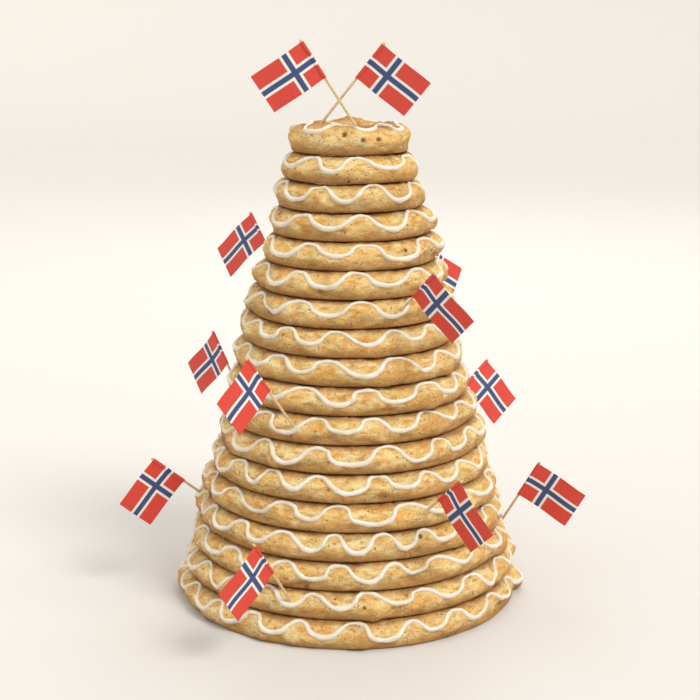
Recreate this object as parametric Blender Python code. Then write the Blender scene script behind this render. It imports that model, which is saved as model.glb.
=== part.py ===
"""Kransekake: a cone of baked almond rings, with paper flags on wooden picks.

Metres, +Z up. The origin is on the table, under the middle of the cake, and
the front is -Y. Rings are numbered from the top, ring_01, to the bottom,
ring_18. A direction is an angle round the cake in degrees: 0 is the front,
90 the right side (+X), -90 the left side and 180 the back.
"""

import math
import random

import bmesh
import bpy
from mathutils import Matrix, Vector

# The cone of rings.
RING_COUNT = 18
BASE_RADIUS = 0.1075
TOP_RADIUS = 0.0378
RING_PITCH = 0.0164
GAP = 0.0003

# A ring's section: rolled dough, round on top, that has slumped flat on its
# tray. It is widest at SIDE_HEIGHT, and the crown leaves room for its lumps.
RING_WIDTH = 0.0204
SIDE_HEIGHT = 0.007
CROWN_HEIGHT = 0.0157
SIDE_TUCK = 0.0102
SECTION_SIDES = 8
SEGMENT_LENGTH = 0.0182
SPARE_SEGMENTS = 8

# The lumps of dough rolled by hand, which lie mostly on the ring's sides. Only
# the top ring, with nothing to carry, keeps them on its crown too.
LUMP_DEPTH = 0.0062
LUMP_SIZE = 0.034
LUMP_CONTRAST = 1.6
CROWN_SHARE = 0.15
TOP_CROWN_SHARE = 0.9
RING_SLIP = 0.0008
SLIP_SEED = 4

# A wooden pick, and its way into a ring: through the outer shoulder of a ring
# on the side of the cake, or through the crown of the top ring.
PICK_RADIUS = 0.0008
PICK_TIP = 0.004
PICK_POINT_SHARE = 0.25
PICK_DEPTH = 0.009
PICK_ABOVE_FLAG = 0.0015
SIDE_ENTRY = (0.0012, 0.0105)
TOP_ENTRY = (0.0065, 0.0135)
HOLE_SIDES = 8

# A paper flag, glued round its pick along the hoist.
FLAG_HOIST = 0.025
FLAG_FLY = 0.035
PAPER = 0.0004
SLEEVE_SIDES = 8
SLEEVE_RADIUS = (PICK_RADIUS + GAP) / math.cos(math.pi / SLEEVE_SIDES)
FLAG_CURL = 0.0012
CURL_STEPS = 3

# Each pick: its ring, the direction in which it enters, the direction in which
# it leans out, its rise over the level, the flag's turn round the pick, all in
# degrees, and the bare length in millimetres between the dough and the flag.
PICKS = (
    (1, 10, -65, 55, -15, 38),
    (1, -40, 70, 50, 15, 40),
    (6, -120, -150, 40, 25, 14),
    (11, -110, -145, 45, 10, 16),
    (11, -25, -55, 55, 20, 28),
    (15, -90, -70, 40, 0, 16),
    (17, -20, -40, 55, 0, 26),
    (7, 30, 35, 40, 20, 14),
    (8, 140, 140, 60, -5, 14),
    (12, 125, 130, 35, -15, 14),
    (16, 90, 70, 60, 0, 20),
    (14, 30, 35, 40, 10, 14),
    (4, -170, 175, 45, 10, 16),
    (9, 160, 130, 50, -15, 18),
    (14, -155, -125, 50, 10, 16),
    (17, 155, 145, 50, 5, 14),
)


def clear_scene():
    """Remove whatever the opened file holds."""
    for item in list(bpy.data.objects):
        bpy.data.objects.remove(item, do_unlink=True)


def add_collection(name):
    """A collection under the scene's own."""
    collection = bpy.data.collections.new(name)
    bpy.context.scene.collection.children.link(collection)
    return collection


def move_to(item, collection):
    """Keep an object in this collection only."""
    for other in list(item.users_collection):
        other.objects.unlink(item)
    collection.objects.link(item)


def add_material(name, color, roughness):
    """A plain Principled material, which is never metallic here."""
    material = bpy.data.materials.new(name)
    material.use_nodes = True
    shader = material.node_tree.nodes["Principled BSDF"]
    shader.inputs["Base Color"].default_value = (*color, 1.0)
    shader.inputs["Roughness"].default_value = roughness
    shader.inputs["Metallic"].default_value = 0.0
    return material


def heading(degrees):
    """The level direction at this angle round the cake."""
    angle = math.radians(degrees)
    return Vector((math.sin(angle), -math.cos(angle), 0.0))


def ring_radius(number):
    """The outer radius of a ring, which grows evenly down the cone."""
    share = (number - 1) / (RING_COUNT - 1)
    return TOP_RADIUS + (BASE_RADIUS - TOP_RADIUS) * share


def ring_level(number):
    """The height of a ring's underside."""
    return (RING_COUNT - number) * RING_PITCH


def ring_slips():
    """How far each ring sits off the axis; the bottom one is true."""
    draw = random.Random(SLIP_SEED)
    slips = {}
    for number in range(1, RING_COUNT):
        slips[number] = heading(draw.uniform(-180, 180)) * draw.uniform(0, RING_SLIP)
    slips[RING_COUNT] = Vector((0.0, 0.0, 0.0))
    return slips


def lump_texture():
    """The slow unevenness of dough rolled by hand."""
    texture = bpy.data.textures.new("hand_rolled", "CLOUDS")
    texture.noise_scale = LUMP_SIZE
    texture.noise_depth = 1
    texture.contrast = LUMP_CONTRAST
    return texture


def add_ring(number, slip, texture, material, collection):
    """One ring: a torus with a flat underside, then lumpy all over but there."""
    middle = ring_radius(number) - RING_WIDTH / 2
    bpy.ops.mesh.primitive_torus_add(
        major_radius=middle,
        minor_radius=RING_WIDTH / 2,
        major_segments=round(2 * math.pi * middle / SEGMENT_LENGTH) + SPARE_SEGMENTS,
        minor_segments=SECTION_SIDES,
        location=slip + Vector((0.0, 0.0, ring_level(number))),
    )
    ring = bpy.context.object
    ring.name = f"ring_{number:02d}"
    ring.data.materials.append(material)
    crust = ring.vertex_groups.new(name="crust")
    crown_share = TOP_CROWN_SHARE if number == 1 else CROWN_SHARE
    for vertex in ring.data.vertices:
        level = vertex.co.z / (RING_WIDTH / 2)
        reach = CROWN_HEIGHT - SIDE_HEIGHT if level > 0 else SIDE_TUCK
        vertex.co.z = max(0.0, SIDE_HEIGHT + reach * level)
        if vertex.co.z > 0.0:
            weight = 1.0 - (1.0 - crown_share) * max(0.0, level)
            crust.add([vertex.index], weight, "REPLACE")
    lumps = ring.modifiers.new("lumps", "DISPLACE")
    lumps.texture = texture
    lumps.texture_coords = "GLOBAL"
    lumps.vertex_group = crust.name
    lumps.mid_level = 0.5
    lumps.strength = LUMP_DEPTH
    ring.data.shade_smooth()
    move_to(ring, collection)
    return ring


def pick_entry(ring_number, entry_angle, slip):
    """The point where a pick goes into its ring."""
    inset, height = TOP_ENTRY if ring_number == 1 else SIDE_ENTRY
    out = heading(entry_angle) * (ring_radius(ring_number) - inset)
    return slip + out + Vector((0.0, 0.0, ring_level(ring_number) + height))


def pick_frame(entry, lean, rise, turn):
    """Axes at the entry: Z along the pick, X along the flag, out and down."""
    level = heading(lean)
    angle = math.radians(rise)
    along = level * math.cos(angle) + Vector((0.0, 0.0, math.sin(angle)))
    down = level * math.sin(angle) - Vector((0.0, 0.0, math.cos(angle)))
    axes = Matrix((down, along.cross(down), along)).transposed().to_4x4()
    return Matrix.Translation(entry) @ axes @ Matrix.Rotation(math.radians(turn), 4, "Z")


def add_pick(name, clear, frame, material, collection):
    """A round wooden stick, whittled to a point at the end in the dough."""
    curve = bpy.data.curves.new(name, "CURVE")
    curve.dimensions = "3D"
    curve.bevel_depth = PICK_RADIUS
    curve.bevel_resolution = 1
    curve.use_fill_caps = True
    heights = (-PICK_DEPTH, PICK_TIP - PICK_DEPTH, clear + FLAG_HOIST + PICK_ABOVE_FLAG)
    spline = curve.splines.new("POLY")
    spline.points.add(len(heights) - 1)
    for point, height in zip(spline.points, heights):
        point.co = (0.0, 0.0, height, 1.0)
    spline.points[0].radius = PICK_POINT_SHARE
    pick = bpy.data.objects.new(name, curve)
    pick.matrix_world = frame
    curve.materials.append(material)
    collection.objects.link(pick)


def add_outline(curve, points):
    """One closed outline of straight runs in a flat curve."""
    spline = curve.splines.new("POLY")
    spline.points.add(len(points) - 1)
    for point, (x, y) in zip(spline.points, points):
        point.co = (x, y, 0.0, 1.0)
    spline.use_cyclic_u = True


def add_flag(name, clear, curl, frame, material, collection):
    """Paper seen along the pick: a sleeve round it, and a slightly curled fly."""
    curve = bpy.data.curves.new(name, "CURVE")
    curve.dimensions = "2D"
    curve.fill_mode = "BOTH"
    curve.extrude = FLAG_HOIST / 2
    step = 2 * math.pi / SLEEVE_SIDES
    outer = SLEEVE_RADIUS + PAPER
    turns = [step * side for side in range(1, SLEEVE_SIDES)]
    wrap = [(outer * math.cos(turn), outer * math.sin(turn)) for turn in turns]
    fly = []
    for number in range(CURL_STEPS + 1):
        share = number / CURL_STEPS
        start = outer * math.cos(step / 2)
        fly.append((start + (FLAG_FLY - start) * share, curl * math.sin(math.pi * share)))
    near = [(x, y - PAPER / 2) for x, y in fly]
    far = [(x, y + PAPER / 2) for x, y in reversed(fly)]
    add_outline(curve, wrap + near + far)
    turns = [step * side for side in range(SLEEVE_SIDES)]
    add_outline(curve, [(SLEEVE_RADIUS * math.cos(t), SLEEVE_RADIUS * math.sin(t)) for t in turns])
    flag = bpy.data.objects.new(name, curve)
    flag.matrix_world = frame @ Matrix.Translation((0.0, 0.0, clear + FLAG_HOIST / 2))
    curve.materials.append(material)
    collection.objects.link(flag)


def cut_hole(ring, name, frame, collection):
    """Open the ring for a pick, with a gap all round it and below its point."""
    mesh = bpy.data.meshes.new(name)
    shape = bmesh.new()
    depth = 2 * PICK_DEPTH + GAP
    radius = SLEEVE_RADIUS
    bmesh.ops.create_cone(
        shape, cap_ends=True, segments=HOLE_SIDES, radius1=radius, radius2=radius, depth=depth
    )
    shape.to_mesh(mesh)
    shape.free()
    cutter = bpy.data.objects.new(name, mesh)
    cutter.matrix_world = frame @ Matrix.Translation((0.0, 0.0, -GAP / 2))
    cutter.hide_render = True
    cutter.display_type = "WIRE"
    collection.objects.link(cutter)
    hole = ring.modifiers.new(name, "BOOLEAN")
    hole.operation = "DIFFERENCE"
    hole.solver = "EXACT"
    hole.object = cutter


def build_cake():
    """The rings first, then every pick with its hole and its flag."""
    clear_scene()
    cake = add_collection("kransekake")
    cutters = add_collection("cutters")
    dough = add_material("baked_almond_dough", (0.60, 0.33, 0.13), 0.75)
    wood = add_material("pale_wood", (0.66, 0.47, 0.25), 0.6)
    paper = add_material("flag_paper", (0.80, 0.09, 0.06), 0.6)
    texture = lump_texture()
    slips = ring_slips()
    rings = {}
    for number, slip in slips.items():
        rings[number] = add_ring(number, slip, texture, dough, cake)
    for number, (ring, entry_angle, lean, rise, turn, clear_mm) in enumerate(PICKS, 1):
        clear = clear_mm / 1000
        frame = pick_frame(pick_entry(ring, entry_angle, slips[ring]), lean, rise, turn)
        curl = FLAG_CURL if number % 2 else -FLAG_CURL
        add_pick(f"pick_{number:02d}", clear, frame, wood, cake)
        add_flag(f"flag_{number:02d}", clear, curl, frame, paper, cake)
        cut_hole(rings[ring], f"hole_{number:02d}", frame, cutters)


build_cake()
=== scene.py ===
"""The looks of a kransekake: baked rings, piped icing, and paper flags on picks.

Metres, +Z up, front towards -Y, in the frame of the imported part.
"""

import math
import random

import bpy
from mathutils import Matrix, Vector
from mathutils.bvhtree import BVHTree


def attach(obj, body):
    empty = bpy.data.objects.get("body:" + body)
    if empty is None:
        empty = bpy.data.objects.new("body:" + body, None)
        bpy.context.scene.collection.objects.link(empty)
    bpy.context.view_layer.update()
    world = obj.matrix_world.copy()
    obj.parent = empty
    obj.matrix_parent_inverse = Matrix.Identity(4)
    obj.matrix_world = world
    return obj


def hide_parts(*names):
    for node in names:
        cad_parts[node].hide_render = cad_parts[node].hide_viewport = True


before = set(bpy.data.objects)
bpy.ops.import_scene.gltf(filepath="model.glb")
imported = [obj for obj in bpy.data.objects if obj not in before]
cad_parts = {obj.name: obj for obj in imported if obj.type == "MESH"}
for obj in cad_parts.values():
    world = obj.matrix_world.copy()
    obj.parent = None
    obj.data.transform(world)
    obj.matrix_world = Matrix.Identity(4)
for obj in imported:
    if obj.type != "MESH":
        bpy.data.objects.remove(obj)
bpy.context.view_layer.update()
bpy.ops.object.select_all(action="DESELECT")


# The dough rings
#
# Eighteen ropes of almond dough, rolled by hand, joined end to end and baked
# on a tray: flat below, round above, golden, and browner where they bulge.

RING_NAMES = sorted(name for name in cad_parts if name.startswith("ring_"))
RING_WIDTH = 0.0204
SIDE_HEIGHT = 0.007
CROWN_HEIGHT = 0.0157
SIDE_TUCK = 0.0102
CROWN_SHARE = 0.15
TOP_CROWN_SHARE = 0.9
UNDERSIDE_FADE = 0.003
FLAT = 0.0001
FACE_SIZE = 0.0013
TOP_FACE_SIZE = 0.0007
SECTION_LENGTH = 0.058
BULGE = 0.0016
SEAM_WIDTH = 0.0034
SEAM_DEPTH = 0.0015
SEAM_TURNS = (70, 290)
SEAM_SLANTS = (0.4, 0.9)
DENTS = ((-5, 30), (12, 10), (27, 12))
DENT_RADIUS = 0.0025
DENT_DEPTH = 0.0014
DOUGH_SEED = 7


def dough_lumps(name, size, octaves, contrast):
    """A noise for the surface of dough, in lumps of one size."""
    texture = bpy.data.textures.new(name, "CLOUDS")
    texture.noise_scale = size
    texture.noise_depth = octaves
    texture.contrast = contrast
    return texture


LUMPS = (
    (dough_lumps("hand_rolled", 0.034, 1, 1.6), 0.0062, "crust"),
    (dough_lumps("pinched", 0.014, 1, 1.6), 0.0036, "crust"),
    (dough_lumps("crinkled", 0.0052, 2, 1.5), 0.0011, "above_tray"),
    (dough_lumps("crumbly", 0.0019, 2, 1.4), 0.0006, "above_tray"),
)


def push(piece, texture, strength, group):
    """Raise and sink the surface by a noise, and keep the result."""
    bpy.context.view_layer.objects.active = piece
    change = piece.modifiers.new(texture.name, "DISPLACE")
    change.texture = texture
    change.texture_coords = "GLOBAL"
    change.vertex_group = group
    change.mid_level = 0.5
    change.strength = strength
    bpy.ops.object.modifier_apply(modifier=change.name)


def ring_seat(name):
    """Where a ring lies: the middle of its flat underside, and that flat's mean radius."""
    corners = [v.co.copy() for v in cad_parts[name].data.vertices]
    level = min(co.z for co in corners)
    flat = [co for co in corners if co.z < level + FLAT]
    middle = Vector((
        (min(co.x for co in flat) + max(co.x for co in flat)) / 2,
        (min(co.y for co in flat) + max(co.y for co in flat)) / 2,
        level,
    ))
    reaches = [(co - middle).length for co in flat]
    return middle, (min(reaches) + max(reaches)) / 2


def select_band(piece, low, high):
    """In edit mode, select the points between two levels of the section."""
    bpy.ops.mesh.select_all(action="DESELECT")
    bpy.ops.object.mode_set(mode="OBJECT")
    for vertex in piece.data.vertices:
        vertex.select = low < vertex.co.z < high
    bpy.ops.object.mode_set(mode="EDIT")


def settle(piece):
    """Put the piece's place into its mesh, with nothing left selected."""
    piece.data.transform(piece.matrix_world)
    piece.matrix_world = Matrix.Identity(4)
    bpy.ops.object.select_all(action="DESELECT")


def join_ends(ring, radius, draw):
    """The slanted seam, away from the front, where the rope's two ends were pressed together."""
    turn = math.radians(draw.uniform(*SEAM_TURNS))
    slant = draw.choice((-1, 1)) * draw.uniform(*SEAM_SLANTS)
    side = Vector((math.cos(turn), math.sin(turn), 0))
    out = Vector((math.sin(turn), -math.cos(turn), 0))
    for vertex in ring.data.vertices:
        off = vertex.co.dot(side) - slant * vertex.co.z
        share = abs(off) / SEAM_WIDTH
        if share < 1 and vertex.co.dot(out) > 0 and vertex.co.z > FLAT - SIDE_HEIGHT:
            heart = vertex.co.xy.normalized() * radius
            inward = (Vector((heart.x, heart.y, 0)) - vertex.co).normalized()
            vertex.co += inward * SEAM_DEPTH * (1 + math.cos(math.pi * share)) / 2


def press_dents(ring, radius):
    """Small dents in the front of the top ring; how deep in one each point lies, 0 to 1."""
    marks = [0.0] * len(ring.data.vertices)
    for turn, rise in DENTS:
        out = Vector((math.sin(math.radians(turn)), -math.cos(math.radians(turn)), 0))
        aim = out * math.cos(math.radians(rise)) + Vector((0, 0, math.sin(math.radians(rise))))
        for vertex in ring.data.vertices:
            away = vertex.co - out * radius
            share = (away - aim * away.dot(aim)).length / DENT_RADIUS
            if share < 1 and away.dot(aim) > 0:
                mark = (1 + math.cos(math.pi * share)) / 2
                marks[vertex.index] = mark
                vertex.co -= aim * DENT_DEPTH * mark
    return marks


def bake_ring(name, draw):
    """A torus, flattened below its side, then lumpy, dented and crumbly."""
    middle, radius = ring_seat(name)
    on_top = name == RING_NAMES[0]
    crown_share = TOP_CROWN_SHARE if on_top else CROWN_SHARE
    face_size = TOP_FACE_SIZE if on_top else FACE_SIZE
    bpy.ops.mesh.primitive_torus_add(
        major_radius=radius,
        minor_radius=RING_WIDTH / 2,
        major_segments=round(2 * math.pi * radius / face_size),
        minor_segments=round(SECTION_LENGTH / face_size),
        location=middle + Vector((0, 0, SIDE_HEIGHT)),
    )
    ring = bpy.context.object
    ring.name = name + "_dough"
    half = RING_WIDTH / 2
    bpy.ops.object.mode_set(mode="EDIT")
    bpy.ops.mesh.select_mode(type="VERT")
    seat = ring.location.copy()
    select_band(ring, 0, half * 2)
    bpy.ops.transform.resize(value=(1, 1, (CROWN_HEIGHT - SIDE_HEIGHT) / half), center_override=seat)
    select_band(ring, -half * 2, 0)
    bpy.ops.transform.resize(value=(1, 1, SIDE_TUCK / half), center_override=seat)
    select_band(ring, -half * 2, -SIDE_HEIGHT)
    bpy.ops.transform.resize(value=(1, 1, 0), center_override=middle)
    bpy.ops.object.mode_set(mode="OBJECT")

    above_tray = ring.vertex_groups.new(name="above_tray")
    crust = ring.vertex_groups.new(name="crust")
    for vertex in ring.data.vertices:
        level = vertex.co.z / (CROWN_HEIGHT - SIDE_HEIGHT)
        rise = min(1.0, (vertex.co.z + SIDE_HEIGHT) / UNDERSIDE_FADE)
        above_tray.add([vertex.index], rise, "REPLACE")
        crust.add([vertex.index], rise * (1.0 - (1.0 - crown_share) * max(0.0, level)), "REPLACE")
    levels = [(vertex.co.z + SIDE_HEIGHT) / CROWN_HEIGHT for vertex in ring.data.vertices]
    smooth = [(vertex.co.copy(), vertex.normal.copy()) for vertex in ring.data.vertices]
    for texture, strength, group in LUMPS:
        push(ring, texture, strength, group)
    bulges = [(v.co - co).dot(normal) / BULGE for v, (co, normal) in zip(ring.data.vertices, smooth)]
    join_ends(ring, radius, draw)
    kept = {
        "height": levels,
        "bulge": bulges,
        "baked": [draw.random()] * len(levels),
        "dent": press_dents(ring, radius) if on_top else [0.0] * len(levels),
    }
    for attribute, values in kept.items():
        ring.data.attributes.new(attribute, "FLOAT", "POINT").data.foreach_set("value", values)
    bpy.ops.object.shade_smooth()
    settle(ring)
    return ring


def mottle_group():
    """A node group: uneven patches at a number of grains a metre, as a mask."""
    group = bpy.data.node_groups.new("mottle", "ShaderNodeTree")
    sockets = (
        ("Place", "NodeSocketVector", "Vector"),
        ("Grains", "NodeSocketFloat", "Scale"),
        ("Detail", "NodeSocketFloat", "Detail"),
        ("Harshness", "NodeSocketFloat", "Roughness"),
        ("Low", "NodeSocketFloat", "From Min"),
        ("High", "NodeSocketFloat", "From Max"),
    )
    for name, kind, target in sockets:
        group.interface.new_socket(name, in_out="INPUT", socket_type=kind)
    group.interface.new_socket("Mask", in_out="OUTPUT", socket_type="NodeSocketFloat")
    entry = group.nodes.new("NodeGroupInput")
    cloud = group.nodes.new("ShaderNodeTexNoise")
    spread = group.nodes.new("ShaderNodeMapRange")
    leave = group.nodes.new("NodeGroupOutput")
    for name, kind, target in sockets:
        node = spread if target.startswith("From") else cloud
        group.links.new(entry.outputs[name], node.inputs[target])
    group.links.new(cloud.outputs["Fac"], spread.inputs["Value"])
    group.links.new(spread.outputs["Result"], leave.inputs["Mask"])
    return group


mottling = mottle_group()


def material(name):
    """A new node material, with its shader and its Object coordinates."""
    made = bpy.data.materials.new(name)
    made.use_nodes = True
    tree = made.node_tree
    shader = tree.nodes["Principled BSDF"]
    places = tree.nodes.new("ShaderNodeTexCoord").outputs["Object"]
    return made, tree, shader, places


def mottle(tree, places, grains, low=0.35, high=0.65, detail=4.0, harshness=0.6):
    """Uneven patches from the shared group, as a mask."""
    node = tree.nodes.new("ShaderNodeGroup")
    node.node_tree = mottling
    values = {"Grains": grains, "Low": low, "High": high, "Detail": detail, "Harshness": harshness}
    for name, value in values.items():
        node.inputs[name].default_value = value
    tree.links.new(places, node.inputs["Place"])
    return node.outputs["Mask"]


def stretch(tree, places, scale):
    """The same places, scaled along each axis."""
    node = tree.nodes.new("ShaderNodeMapping")
    node.inputs["Scale"].default_value = scale
    tree.links.new(places, node.inputs["Vector"])
    return node.outputs["Vector"]


def remap(tree, value, low, high, to_low=0.0, to_high=1.0):
    """Stretch a value's range, held at its ends."""
    node = tree.nodes.new("ShaderNodeMapRange")
    node.inputs["From Min"].default_value = low
    node.inputs["From Max"].default_value = high
    node.inputs["To Min"].default_value = to_low
    node.inputs["To Max"].default_value = to_high
    tree.links.new(value, node.inputs["Value"])
    return node.outputs["Result"]


def blend_color(tree, mask, below, above):
    """One colour over another by a mask; each is a colour or a socket."""
    node = tree.nodes.new("ShaderNodeMix")
    node.data_type = "RGBA"
    tree.links.new(mask, node.inputs["Factor"])
    for socket, color in ((node.inputs[6], below), (node.inputs[7], above)):
        if isinstance(color, tuple):
            socket.default_value = (*color, 1.0)
        else:
            tree.links.new(color, socket)
    return node.outputs[2]


def combine(tree, kind, first, second):
    """Arithmetic on two values; each is a number or a socket."""
    node = tree.nodes.new("ShaderNodeMath")
    node.operation = kind
    for socket, value in zip(node.inputs, (first, second)):
        if isinstance(value, (int, float)):
            socket.default_value = value
        else:
            tree.links.new(value, socket)
    return node.outputs["Value"]


def bump(tree, shader, height, strength, distance):
    """Fine relief from a height."""
    node = tree.nodes.new("ShaderNodeBump")
    node.inputs["Strength"].default_value = strength
    node.inputs["Distance"].default_value = distance
    tree.links.new(height, node.inputs["Height"])
    tree.links.new(node.outputs["Normal"], shader.inputs["Normal"])


def measured(tree, name):
    """A value kept on the mesh."""
    node = tree.nodes.new("ShaderNodeAttribute")
    node.attribute_name = name
    return node.outputs["Fac"]


def pitted(tree, places, grains, share):
    """Small round pits scattered over the crust, in a share of the cells of a pattern."""
    cells = tree.nodes.new("ShaderNodeTexVoronoi")
    cells.inputs["Scale"].default_value = grains
    tree.links.new(places, cells.inputs["Vector"])
    chance = tree.nodes.new("ShaderNodeSeparateColor")
    tree.links.new(cells.outputs["Color"], chance.inputs["Color"])
    chosen = remap(tree, chance.outputs["Red"], 1 - share, 1.02 - share)
    reach = remap(tree, chance.outputs["Green"], 0, 1, 0.10, 0.26)
    hollow = combine(tree, "SUBTRACT", 1.0, combine(tree, "DIVIDE", cells.outputs["Distance"], reach))
    return combine(tree, "MULTIPLY", remap(tree, hollow, 0.0, 0.6), chosen)


def cracked(tree, places, grains):
    """Hairline cracks in patches: 0 in a crack, 1 between them."""
    lines = tree.nodes.new("ShaderNodeTexVoronoi")
    lines.feature = "DISTANCE_TO_EDGE"
    lines.inputs["Scale"].default_value = grains
    tree.links.new(places, lines.inputs["Vector"])
    whole = mottle(tree, places, grains / 3, 0.4, 0.55)
    return combine(tree, "MAXIMUM", remap(tree, lines.outputs["Distance"], 0.0, 0.10), whole)


def baked_dough():
    """Golden almond dough, browner where it bulges, with pits and cracks; its lower edge darker from
    the tray and from painted shade in the crevice, its crown darkened by painted shade, and its pits
    and dents painted dark as shade.
    """
    made, tree, shader, places = material("baked_dough")
    level = measured(tree, "height")
    bulge = measured(tree, "bulge")
    along = stretch(tree, places, (1, 1, 2.4))

    patches = mottle(tree, places, 42, 0.38, 0.62)
    golden = blend_color(tree, patches, (0.93, 0.685, 0.285), (0.92, 0.52, 0.145))
    deeper = remap(tree, measured(tree, "baked"), 0, 1, 0.0, 0.3)
    golden = blend_color(tree, deeper, golden, (0.66, 0.325, 0.080))
    straw = mottle(tree, along, 115, 0.46, 0.66, 5)
    golden = blend_color(tree, straw, golden, (0.97, 0.81, 0.42))
    toast = mottle(tree, stretch(tree, along, (1.01, 1.02, 1.03)), 140, 0.50, 0.68, 5)
    golden = blend_color(tree, toast, golden, (0.66, 0.310, 0.072))

    hill = combine(tree, "ADD", bulge, remap(tree, mottle(tree, places, 260), 0, 1, -0.5, 0.5))
    golden = blend_color(tree, remap(tree, hill, 0.4, 1.6, 0, 0.6), golden, (0.62, 0.290, 0.068))

    uneven = mottle(tree, along, 90, 0.3, 0.7, 4)
    # Darker brown towards the underside: partly real browning on the tray, partly painted shade in the
    # crevice between rings.
    underside_browning_and_shade = combine(tree, "ADD", remap(tree, level, 0.56, 0.06), remap(tree, uneven, 0, 1, -0.3, 0.3))
    browned_and_shaded = blend_color(tree, remap(tree, underside_browning_and_shade, 0.15, 1.0), golden, (0.50, 0.25, 0.075))
    # Darker at the crown of every ring: painted shade, as where the ring above sits on it.
    crown_shade = combine(tree, "ADD", remap(tree, level, 0.80, 1.0), remap(tree, uneven, 0, 1, -0.25, 0.25))
    browned_and_shaded = blend_color(tree, remap(tree, crown_shade, 0.25, 1.0), browned_and_shaded, (0.46, 0.225, 0.070))

    flecks = mottle(tree, places, 520, 0.66, 0.70, 2, 0.5)
    speckled_and_shaded = blend_color(tree, flecks, browned_and_shaded, (0.36, 0.16, 0.050))
    dents = remap(tree, measured(tree, "dent"), 0.1, 0.8)
    pits = combine(tree, "MAXIMUM", pitted(tree, places, 120, 0.10), dents)
    # The pits and the dents on the top ring are painted dark: painted shade in the hollows.
    speckled_and_shaded = blend_color(tree, pits, speckled_and_shaded, (0.26, 0.11, 0.035))
    tree.links.new(speckled_and_shaded, shader.inputs["Base Color"])
    tree.links.new(remap(tree, straw, 0, 1, 0.85, 0.68), shader.inputs["Roughness"])
    shader.inputs["Specular IOR Level"].default_value = 0.35

    crumb = mottle(tree, places, 560, 0.25, 0.75, 6, 0.75)
    relief = combine(tree, "ADD", combine(tree, "MULTIPLY", cracked(tree, places, 210), 0.6), crumb)
    relief = combine(tree, "SUBTRACT", relief, combine(tree, "MULTIPLY", pits, 1.2))
    bump(tree, shader, relief, 1.0, 0.0011)
    return made


dough = baked_dough()
roller = random.Random(DOUGH_SEED)
rings = {}
for ring_name in RING_NAMES:
    ring = bake_ring(ring_name, roller)
    ring.data.materials.append(dough)
    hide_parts(ring_name)
    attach(ring, "root")
    rings[ring_name] = ring


# The icing
#
# Stiff royal icing, piped in one wavy line round the outer shoulder of each
# ring as the cake is stacked. The next ring sits on the tops of the waves,
# and on the top ring the line climbs over the crown.

ICING_SEED = 21
ICING_RADIUS = 0.0014
ICING_SINK = 0.0003
TOP_WAVE_LENGTH = 0.039
BASE_WAVE_LENGTH = 0.034
LENGTH_SPREAD = (0.88, 1.14)
HALF_WAVE_SPREAD = (0.74, 1.26)
HALF_WAVE_STEPS = 9
STEEPNESS = (0.85, 1.55)
SWING = (0.7, 1.0)
CREST_RISE = (58, 66)
TROUGH_RISE = (-8, 12)
TOP_CREST_RISE = (84, 100)
TOP_TROUGH_RISE = (28, 52)
CREST_BEAD = 0.84
TROUGH_BEAD = 1.18
BEAD_SPREAD = (0.86, 1.10)
ICING_UNEVEN = 0.0007
uneven_bead = dough_lumps("uneven_bead", 0.0045, 1, 1.4)


def section_ray(tree, middle, radius, turn, rise):
    """The point and normal of a ring's crust at a turn round it and a rise up its section."""
    out = Vector((math.sin(turn), -math.cos(turn), 0))
    heart = middle + out * radius + Vector((0, 0, SIDE_HEIGHT))
    aim = out * math.cos(rise) + Vector((0, 0, math.sin(rise)))
    point, normal, face, distance = tree.ray_cast(heart + aim * RING_WIDTH, -aim)
    return point, normal


def half_wave(steepness, swing, falls):
    """One side of a wave, level at both ends: shares of its run and of its fall or climb."""
    run = [0.0]
    drop = [0.0]
    for step in range(HALF_WAVE_STEPS):
        share = ((step + 0.5) / HALF_WAVE_STEPS) ** swing
        slope = steepness * math.sin(math.pi * share)
        run.append(run[-1] + math.cos(slope))
        drop.append(drop[-1] + math.sin(slope))
    fall = [(x / run[-1], y / drop[-1]) for x, y in zip(run, drop)]
    return fall[:-1] if falls else [(1 - x, 1 - y) for x, y in reversed(fall)][:-1]


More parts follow.
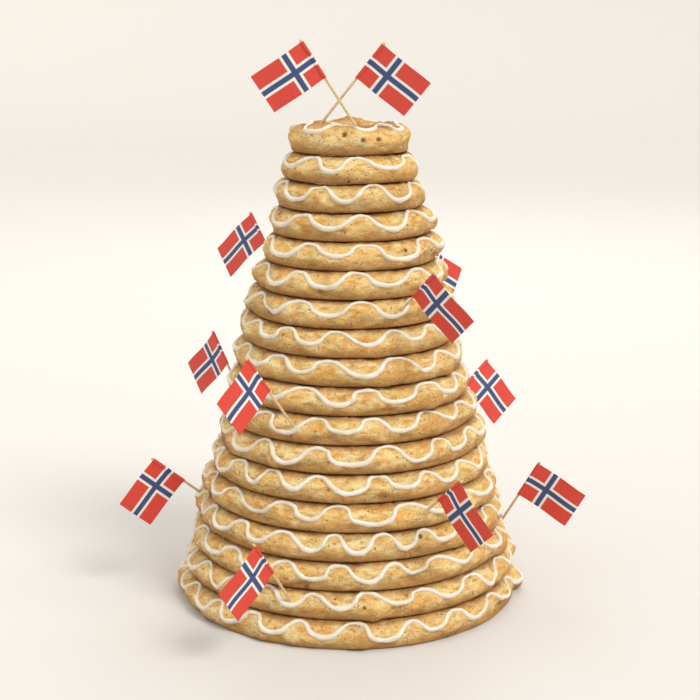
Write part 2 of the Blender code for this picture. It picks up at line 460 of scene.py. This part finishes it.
def pipe_icing(name, crest_rise, trough_rise, draw):
    """A wavy line of icing that follows the crust of one ring."""
    middle, radius = ring_seat(name)
    crust = BVHTree.FromObject(rings[name], bpy.context.evaluated_depsgraph_get())
    share = RING_NAMES.index(name) / (len(RING_NAMES) - 1)
    length = TOP_WAVE_LENGTH + (BASE_WAVE_LENGTH - TOP_WAVE_LENGTH) * share
    length *= draw.uniform(*LENGTH_SPREAD)
    waves = round(2 * math.pi * (radius + RING_WIDTH / 2) / length)
    widths = [draw.uniform(*HALF_WAVE_SPREAD) for half in range(2 * waves)]
    rises = [draw.uniform(*(trough_rise if half % 2 else crest_rise)) for half in range(2 * waves)]
    turned = draw.uniform(0, sum(widths))
    points = []
    for half, width in enumerate(widths):
        start = rises[half]
        stop = rises[(half + 1) % len(rises)]
        swell = draw.uniform(*BEAD_SPREAD)
        steepness = draw.uniform(*STEEPNESS)
        swing = draw.uniform(*SWING)
        for run, drop in half_wave(steepness, swing, half % 2 == 0):
            turn = 2 * math.pi * (turned + run * width) / sum(widths)
            rise = start + (stop - start) * drop
            point, normal = section_ray(crust, middle, radius, turn, math.radians(rise))
            low = (crest_rise[1] - rise) / (crest_rise[1] - trough_rise[0])
            bead = swell * (CREST_BEAD + (TROUGH_BEAD - CREST_BEAD) * low)
            points.append((point - normal * ICING_SINK, bead))
        turned += width
    curve = bpy.data.curves.new(name + "_icing", "CURVE")
    curve.dimensions = "3D"
    curve.bevel_depth = ICING_RADIUS
    curve.bevel_resolution = 4
    curve.resolution_u = 3
    spline = curve.splines.new("NURBS")
    spline.points.add(len(points) - 1)
    for spot, (point, thickness) in zip(spline.points, points):
        spot.co = (*point, 1)
        spot.radius = thickness
    spline.use_cyclic_u = True
    spline.order_u = 4
    line = bpy.data.objects.new(curve.name, curve)
    bpy.context.scene.collection.objects.link(line)
    line.select_set(True)
    bpy.context.view_layer.objects.active = line
    bpy.ops.object.convert(target="MESH")
    line = bpy.context.object
    push(line, uneven_bead, ICING_UNEVEN, "")
    bpy.ops.object.shade_smooth()
    bpy.ops.object.select_all(action="DESELECT")
    return line


def royal_icing():
    """Cream-white sugar icing, set hard, with a soft satin skin."""
    made, tree, shader, places = material("royal_icing")
    tint = mottle(tree, places, 160)
    tone = blend_color(tree, tint, (0.71, 0.665, 0.575), (0.645, 0.575, 0.455))
    tree.links.new(tone, shader.inputs["Base Color"])
    tree.links.new(remap(tree, tint, 0, 1, 0.38, 0.55), shader.inputs["Roughness"])
    shader.inputs["Subsurface Weight"].default_value = 0.12
    shader.inputs["Subsurface Radius"].default_value = (0.004, 0.003, 0.002)
    bump(tree, shader, mottle(tree, places, 700, 0.2, 0.8), 0.25, 0.0004)
    return made


sugar = royal_icing()
piper = random.Random(ICING_SEED)
for ring_name in RING_NAMES:
    on_top = ring_name == RING_NAMES[0]
    crest_rise = TOP_CREST_RISE if on_top else CREST_RISE
    trough_rise = TOP_TROUGH_RISE if on_top else TROUGH_RISE
    icing = pipe_icing(ring_name, crest_rise, trough_rise, piper)
    icing.data.materials.append(sugar)
    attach(icing, "root")


# The picks
#
# Round birch sticks, whittled to a point at the end that goes into the dough.

PICK_NAMES = sorted(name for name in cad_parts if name.startswith("pick_"))
PICK_RADIUS = 0.0008
PICK_TIP = 0.004
PICK_SIDES = 20
POINT_SHARE = 0.2
TOP_ROUNDING = 0.00025
END_BAND = 0.0004
END_PASSES = 3


def pick_line(name):
    """The two ends of a pick, its point first."""
    corners = [v.co.copy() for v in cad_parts[name].data.vertices]
    low = min(corners, key=lambda co: co.z)
    high = max(corners, key=lambda co: co.z)
    for attempt in range(END_PASSES):
        way = (high - low).normalized()
        reaches = [co.dot(way) for co in corners]
        first = [co for co, reach in zip(corners, reaches) if reach < min(reaches) + END_BAND]
        last = [co for co, reach in zip(corners, reaches) if reach > max(reaches) - END_BAND]
        low = sum(first, Vector()) / len(first)
        high = sum(last, Vector()) / len(last)
    return low, high


def turned_to(low, way):
    """A frame at a point, with Z along a direction."""
    return Matrix.Translation(low) @ way.to_track_quat("Z", "Y").to_matrix().to_4x4()


def whittle_pick(name):
    """A thin cylinder with a drawn-in point and a softened top."""
    low, high = pick_line(name)
    length = (high - low).length
    bpy.ops.mesh.primitive_cylinder_add(
        vertices=PICK_SIDES, radius=PICK_RADIUS, depth=length, location=(0, 0, length / 2)
    )
    pick = bpy.context.object
    pick.name = name + "_wood"
    settle(pick)
    pick.select_set(True)
    bpy.ops.object.mode_set(mode="EDIT")
    bpy.ops.mesh.select_all(action="SELECT")
    bpy.ops.mesh.bisect(plane_co=(0, 0, PICK_TIP), plane_no=(0, 0, 1))
    select_band(pick, -FLAT, FLAT)
    bpy.ops.transform.resize(value=(POINT_SHARE, POINT_SHARE, 1), center_override=(0, 0, 0))
    select_band(pick, length - FLAT, length + FLAT)
    bpy.ops.mesh.bevel(offset=TOP_ROUNDING, segments=3, affect="EDGES")
    bpy.ops.object.mode_set(mode="OBJECT")
    pick.data.shade_smooth()
    pick.data.set_sharp_from_angle(angle=math.radians(40))
    pick.data.transform(turned_to(low, (high - low).normalized()))
    bpy.ops.object.select_all(action="DESELECT")
    return pick


def pale_wood():
    """Bare birch with fine darker grain."""
    made, tree, shader, places = material("pale_wood")
    grain = mottle(tree, places, 900, 0.35, 0.7)
    color = blend_color(tree, grain, (0.70, 0.54, 0.31), (0.47, 0.32, 0.15))
    tree.links.new(color, shader.inputs["Base Color"])
    shader.inputs["Roughness"].default_value = 0.62
    bump(tree, shader, grain, 0.3, 0.0002)
    return made


wood = pale_wood()
for pick_name in PICK_NAMES:
    pick = whittle_pick(pick_name)
    pick.data.materials.append(wood)
    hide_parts(pick_name)
    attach(pick, "root")


# The flags
#
# Small paper flags, each one printed strip folded round its pick and glued to
# itself: red, with a blue cross in a white one, its upright nearer the pick.

FLAG_NAMES = sorted(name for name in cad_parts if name.startswith("flag_"))
PAPER = 0.00012
SLEEVE_RADIUS = 0.00105
FOLD_STEPS = 12
FLY_STEPS = 22
HOIST_STEPS = 10
FREE_EDGE = 0.0005
GLUED_SHARE = 0.04
RIPPLE = 0.0009
CROSS_FLY = (6, 1, 2, 1, 12)
CROSS_HOIST = (6, 1, 2, 1, 6)
PRINT_EDGE = 0.005


def flag_frame(name, pick_name):
    """A frame at the foot of the hoist, Z up the pick and X along the fly; then the sizes."""
    low, high = pick_line(pick_name)
    way = (high - low).normalized()
    corners = [v.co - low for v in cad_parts[name].data.vertices]
    reaches = [co.dot(way) for co in corners]
    start, stop = min(reaches), max(reaches)
    aways = [co - way * co.dot(way) for co in corners]
    fly = max(away.length for away in aways)
    ends = [away for away in aways if away.length > fly - FREE_EDGE]
    out = (sum(ends, Vector()) / len(ends)).normalized()
    axes = Matrix((out, way.cross(out), way)).transposed().to_4x4()
    middles = [away.dot(way.cross(out)) for away in aways if away.length > fly / 4]
    curl = max(middles) + min(middles)
    return Matrix.Translation(low + way * start) @ axes, stop - start, fly, curl


def strip_path(fly):
    """The folded strip seen along the pick: in along one face, round the pick, and out again."""
    run = [fly + (SLEEVE_RADIUS - fly) * step / FLY_STEPS for step in range(FLY_STEPS)]
    near = [(x, -PAPER / 2) for x in run]
    shares = [GLUED_SHARE + (1 - 2 * GLUED_SHARE) * step / FOLD_STEPS for step in range(FOLD_STEPS + 1)]
    turns = [math.pi * (1 + 2 * share) for share in shares]
    wrap = [(-SLEEVE_RADIUS * math.cos(turn), SLEEVE_RADIUS * math.sin(turn)) for turn in turns]
    far = [(x, -y) for x, y in reversed(near)]
    return near + wrap + far


def fold_flag(name, pick_name, draw):
    """A grid bent along the strip's path, with a shallow wave that grows to its free end."""
    place, hoist, fly, curl = flag_frame(name, pick_name)
    path = strip_path(fly)
    bpy.ops.mesh.primitive_grid_add(
        x_subdivisions=len(path) - 1, y_subdivisions=HOIST_STEPS, size=1, location=(0.5, 0, 0)
    )
    flag = bpy.context.object
    flag.name = name + "_paper"
    settle(flag)
    spots = [round(vertex.co.x * (len(path) - 1)) for vertex in flag.data.vertices]
    ups = [vertex.co.y + 0.5 for vertex in flag.data.vertices]
    print_map = flag.data.uv_layers.active
    for loop in flag.data.loops:
        x, y = path[spots[loop.vertex_index]]
        print_map.data[loop.index].uv = (max(0.0, x) / fly, ups[loop.vertex_index])
    flutter = draw.uniform(0.6, 1.1) * (1 if curl > 0 else -1)
    slant = draw.uniform(-0.5, 0.5)
    for vertex, spot, up in zip(flag.data.vertices, spots, ups):
        x, y = path[spot]
        along = max(0.0, x - SLEEVE_RADIUS) / (fly - SLEEVE_RADIUS)
        bow = curl * math.sin(math.pi * along)
        ripple = RIPPLE * flutter * along * math.sin(2 * math.pi * along + slant * (up - 0.5))
        vertex.co = (x, y + bow + ripple, up * hoist)
    flag.data.transform(place)
    thick = flag.modifiers.new("paper", "SOLIDIFY")
    thick.thickness = PAPER
    thick.offset = 0
    bpy.context.view_layer.objects.active = flag
    bpy.ops.object.modifier_apply(modifier=thick.name)
    flag.data.shade_smooth()
    flag.data.set_sharp_from_angle(angle=math.radians(50))
    return flag


def band(tree, value, low, high):
    """1 between two levels of a value, 0 outside, with a slightly soft edge."""
    inside = remap(tree, value, low - PRINT_EDGE, low + PRINT_EDGE)
    outside = remap(tree, value, high - PRINT_EDGE, high + PRINT_EDGE)
    return combine(tree, "SUBTRACT", inside, outside)


def printed_paper():
    """White paper with a printed red field and a white-edged blue cross."""
    made, tree, shader, places = material("flag_paper")
    sheet = tree.nodes.new("ShaderNodeTexCoord").outputs["UV"]
    split = tree.nodes.new("ShaderNodeSeparateXYZ")
    tree.links.new(sheet, split.inputs["Vector"])
    fibres = mottle(tree, places, 900, 0.3, 0.7)
    crosses = []
    for inset in (0, 1):
        arms = []
        for socket, parts in (("X", CROSS_FLY), ("Y", CROSS_HOIST)):
            low = sum(parts[: 1 + inset]) / sum(parts)
            high = sum(parts[: 4 - inset]) / sum(parts)
            arms.append(band(tree, split.outputs[socket], low, high))
        crosses.append(combine(tree, "MAXIMUM", *arms))
    red = blend_color(tree, fibres, (0.56, 0.038, 0.022), (0.63, 0.058, 0.036))
    white = blend_color(tree, crosses[0], red, (0.76, 0.74, 0.70))
    blue = blend_color(tree, crosses[1], white, (0.034, 0.058, 0.170))
    tree.links.new(blue, shader.inputs["Base Color"])
    shader.inputs["Roughness"].default_value = 0.55
    bump(tree, shader, fibres, 0.25, 0.0001)
    return made


paper = printed_paper()
folder = random.Random(ICING_SEED)
for flag_name, pick_name in zip(FLAG_NAMES, PICK_NAMES):
    flag = fold_flag(flag_name, pick_name, folder)
    flag.data.materials.append(paper)
    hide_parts(flag_name)
    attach(flag, "root")


# The studio
#
# A pale floor that curves up all round into a wall, a hazy sun with two soft
# lamps, and a camera just above the height of the cake.

FLOOR_RADIUS = 3.4
COVE_RADIUS = 2.2
COVE_STEPS = 14
WALL_HEIGHT = 0.4
CAMERA_PITCH = 13

bpy.ops.mesh.primitive_circle_add(vertices=128, radius=FLOOR_RADIUS, fill_type="NGON")
floor = bpy.context.object
floor.name = "floor"
bpy.ops.object.mode_set(mode="EDIT")
bpy.ops.mesh.select_mode(type="EDGE")
bpy.ops.mesh.select_all(action="SELECT")
bpy.ops.mesh.region_to_loop()
reach, height = FLOOR_RADIUS, 0
for step in range(1, COVE_STEPS + 1):
    turn = math.pi / 2 * step / COVE_STEPS
    grown = FLOOR_RADIUS + COVE_RADIUS * math.sin(turn)
    climb = COVE_RADIUS * (1 - math.cos(turn)) + (WALL_HEIGHT if step == COVE_STEPS else 0)
    bpy.ops.mesh.extrude_edges_move(TRANSFORM_OT_translate={"value": (0, 0, climb - height)})
    bpy.ops.transform.resize(value=(grown / reach, grown / reach, 1), center_override=(0, 0, 0))
    reach, height = grown, climb
bpy.ops.object.mode_set(mode="OBJECT")
bpy.ops.object.shade_smooth()
floor_paint, tree, shader, places = material("floor_paint")
shader.inputs["Base Color"].default_value = (0.575, 0.558, 0.53, 1)
shader.inputs["Roughness"].default_value = 0.85
floor.data.materials.append(floor_paint)


def soft_lamp(name, place, aim, size, power, color):
    """A large square lamp turned to a point."""
    lamp = bpy.data.lights.new(name, "AREA")
    lamp.size = size
    lamp.energy = power
    lamp.color = color
    holder = bpy.data.objects.new(name, lamp)
    holder.location = place
    holder.rotation_euler = (Vector(aim) - Vector(place)).to_track_quat("-Z", "Y").to_euler()
    bpy.context.scene.collection.objects.link(holder)


middle = (0, 0, 0.15)
soft_lamp("fill", (-1.2, -0.9, 0.8), middle, 1.2, 2.0, (0.96, 0.98, 1))
soft_lamp("back", (0.2, 1.3, 1.3), middle, 1.0, 7, (1, 1, 1))

key = bpy.data.lights.new("key", "SUN")
key.energy = 2.05
key.angle = math.radians(24)
key.color = (1, 0.97, 0.92)
holder = bpy.data.objects.new("key", key)
holder.rotation_euler = (math.radians(44), 0, math.radians(48))
bpy.context.scene.collection.objects.link(holder)

world = bpy.data.worlds.new("studio")
bpy.context.scene.world = world
world.use_nodes = True
world.node_tree.nodes["Background"].inputs["Color"].default_value = (1, 0.98, 0.95, 1)
world.node_tree.nodes["Background"].inputs["Strength"].default_value = 1.13
bpy.context.scene.view_settings.view_transform = "Standard"

camera = bpy.data.cameras.new("camera")
camera.lens = 76
holder = bpy.data.objects.new("camera", camera)
holder.location = (0, -0.9, 0.362)
holder.rotation_euler = (math.radians(90 - CAMERA_PITCH), 0, 0)
bpy.context.scene.collection.objects.link(holder)
bpy.context.scene.camera = holder
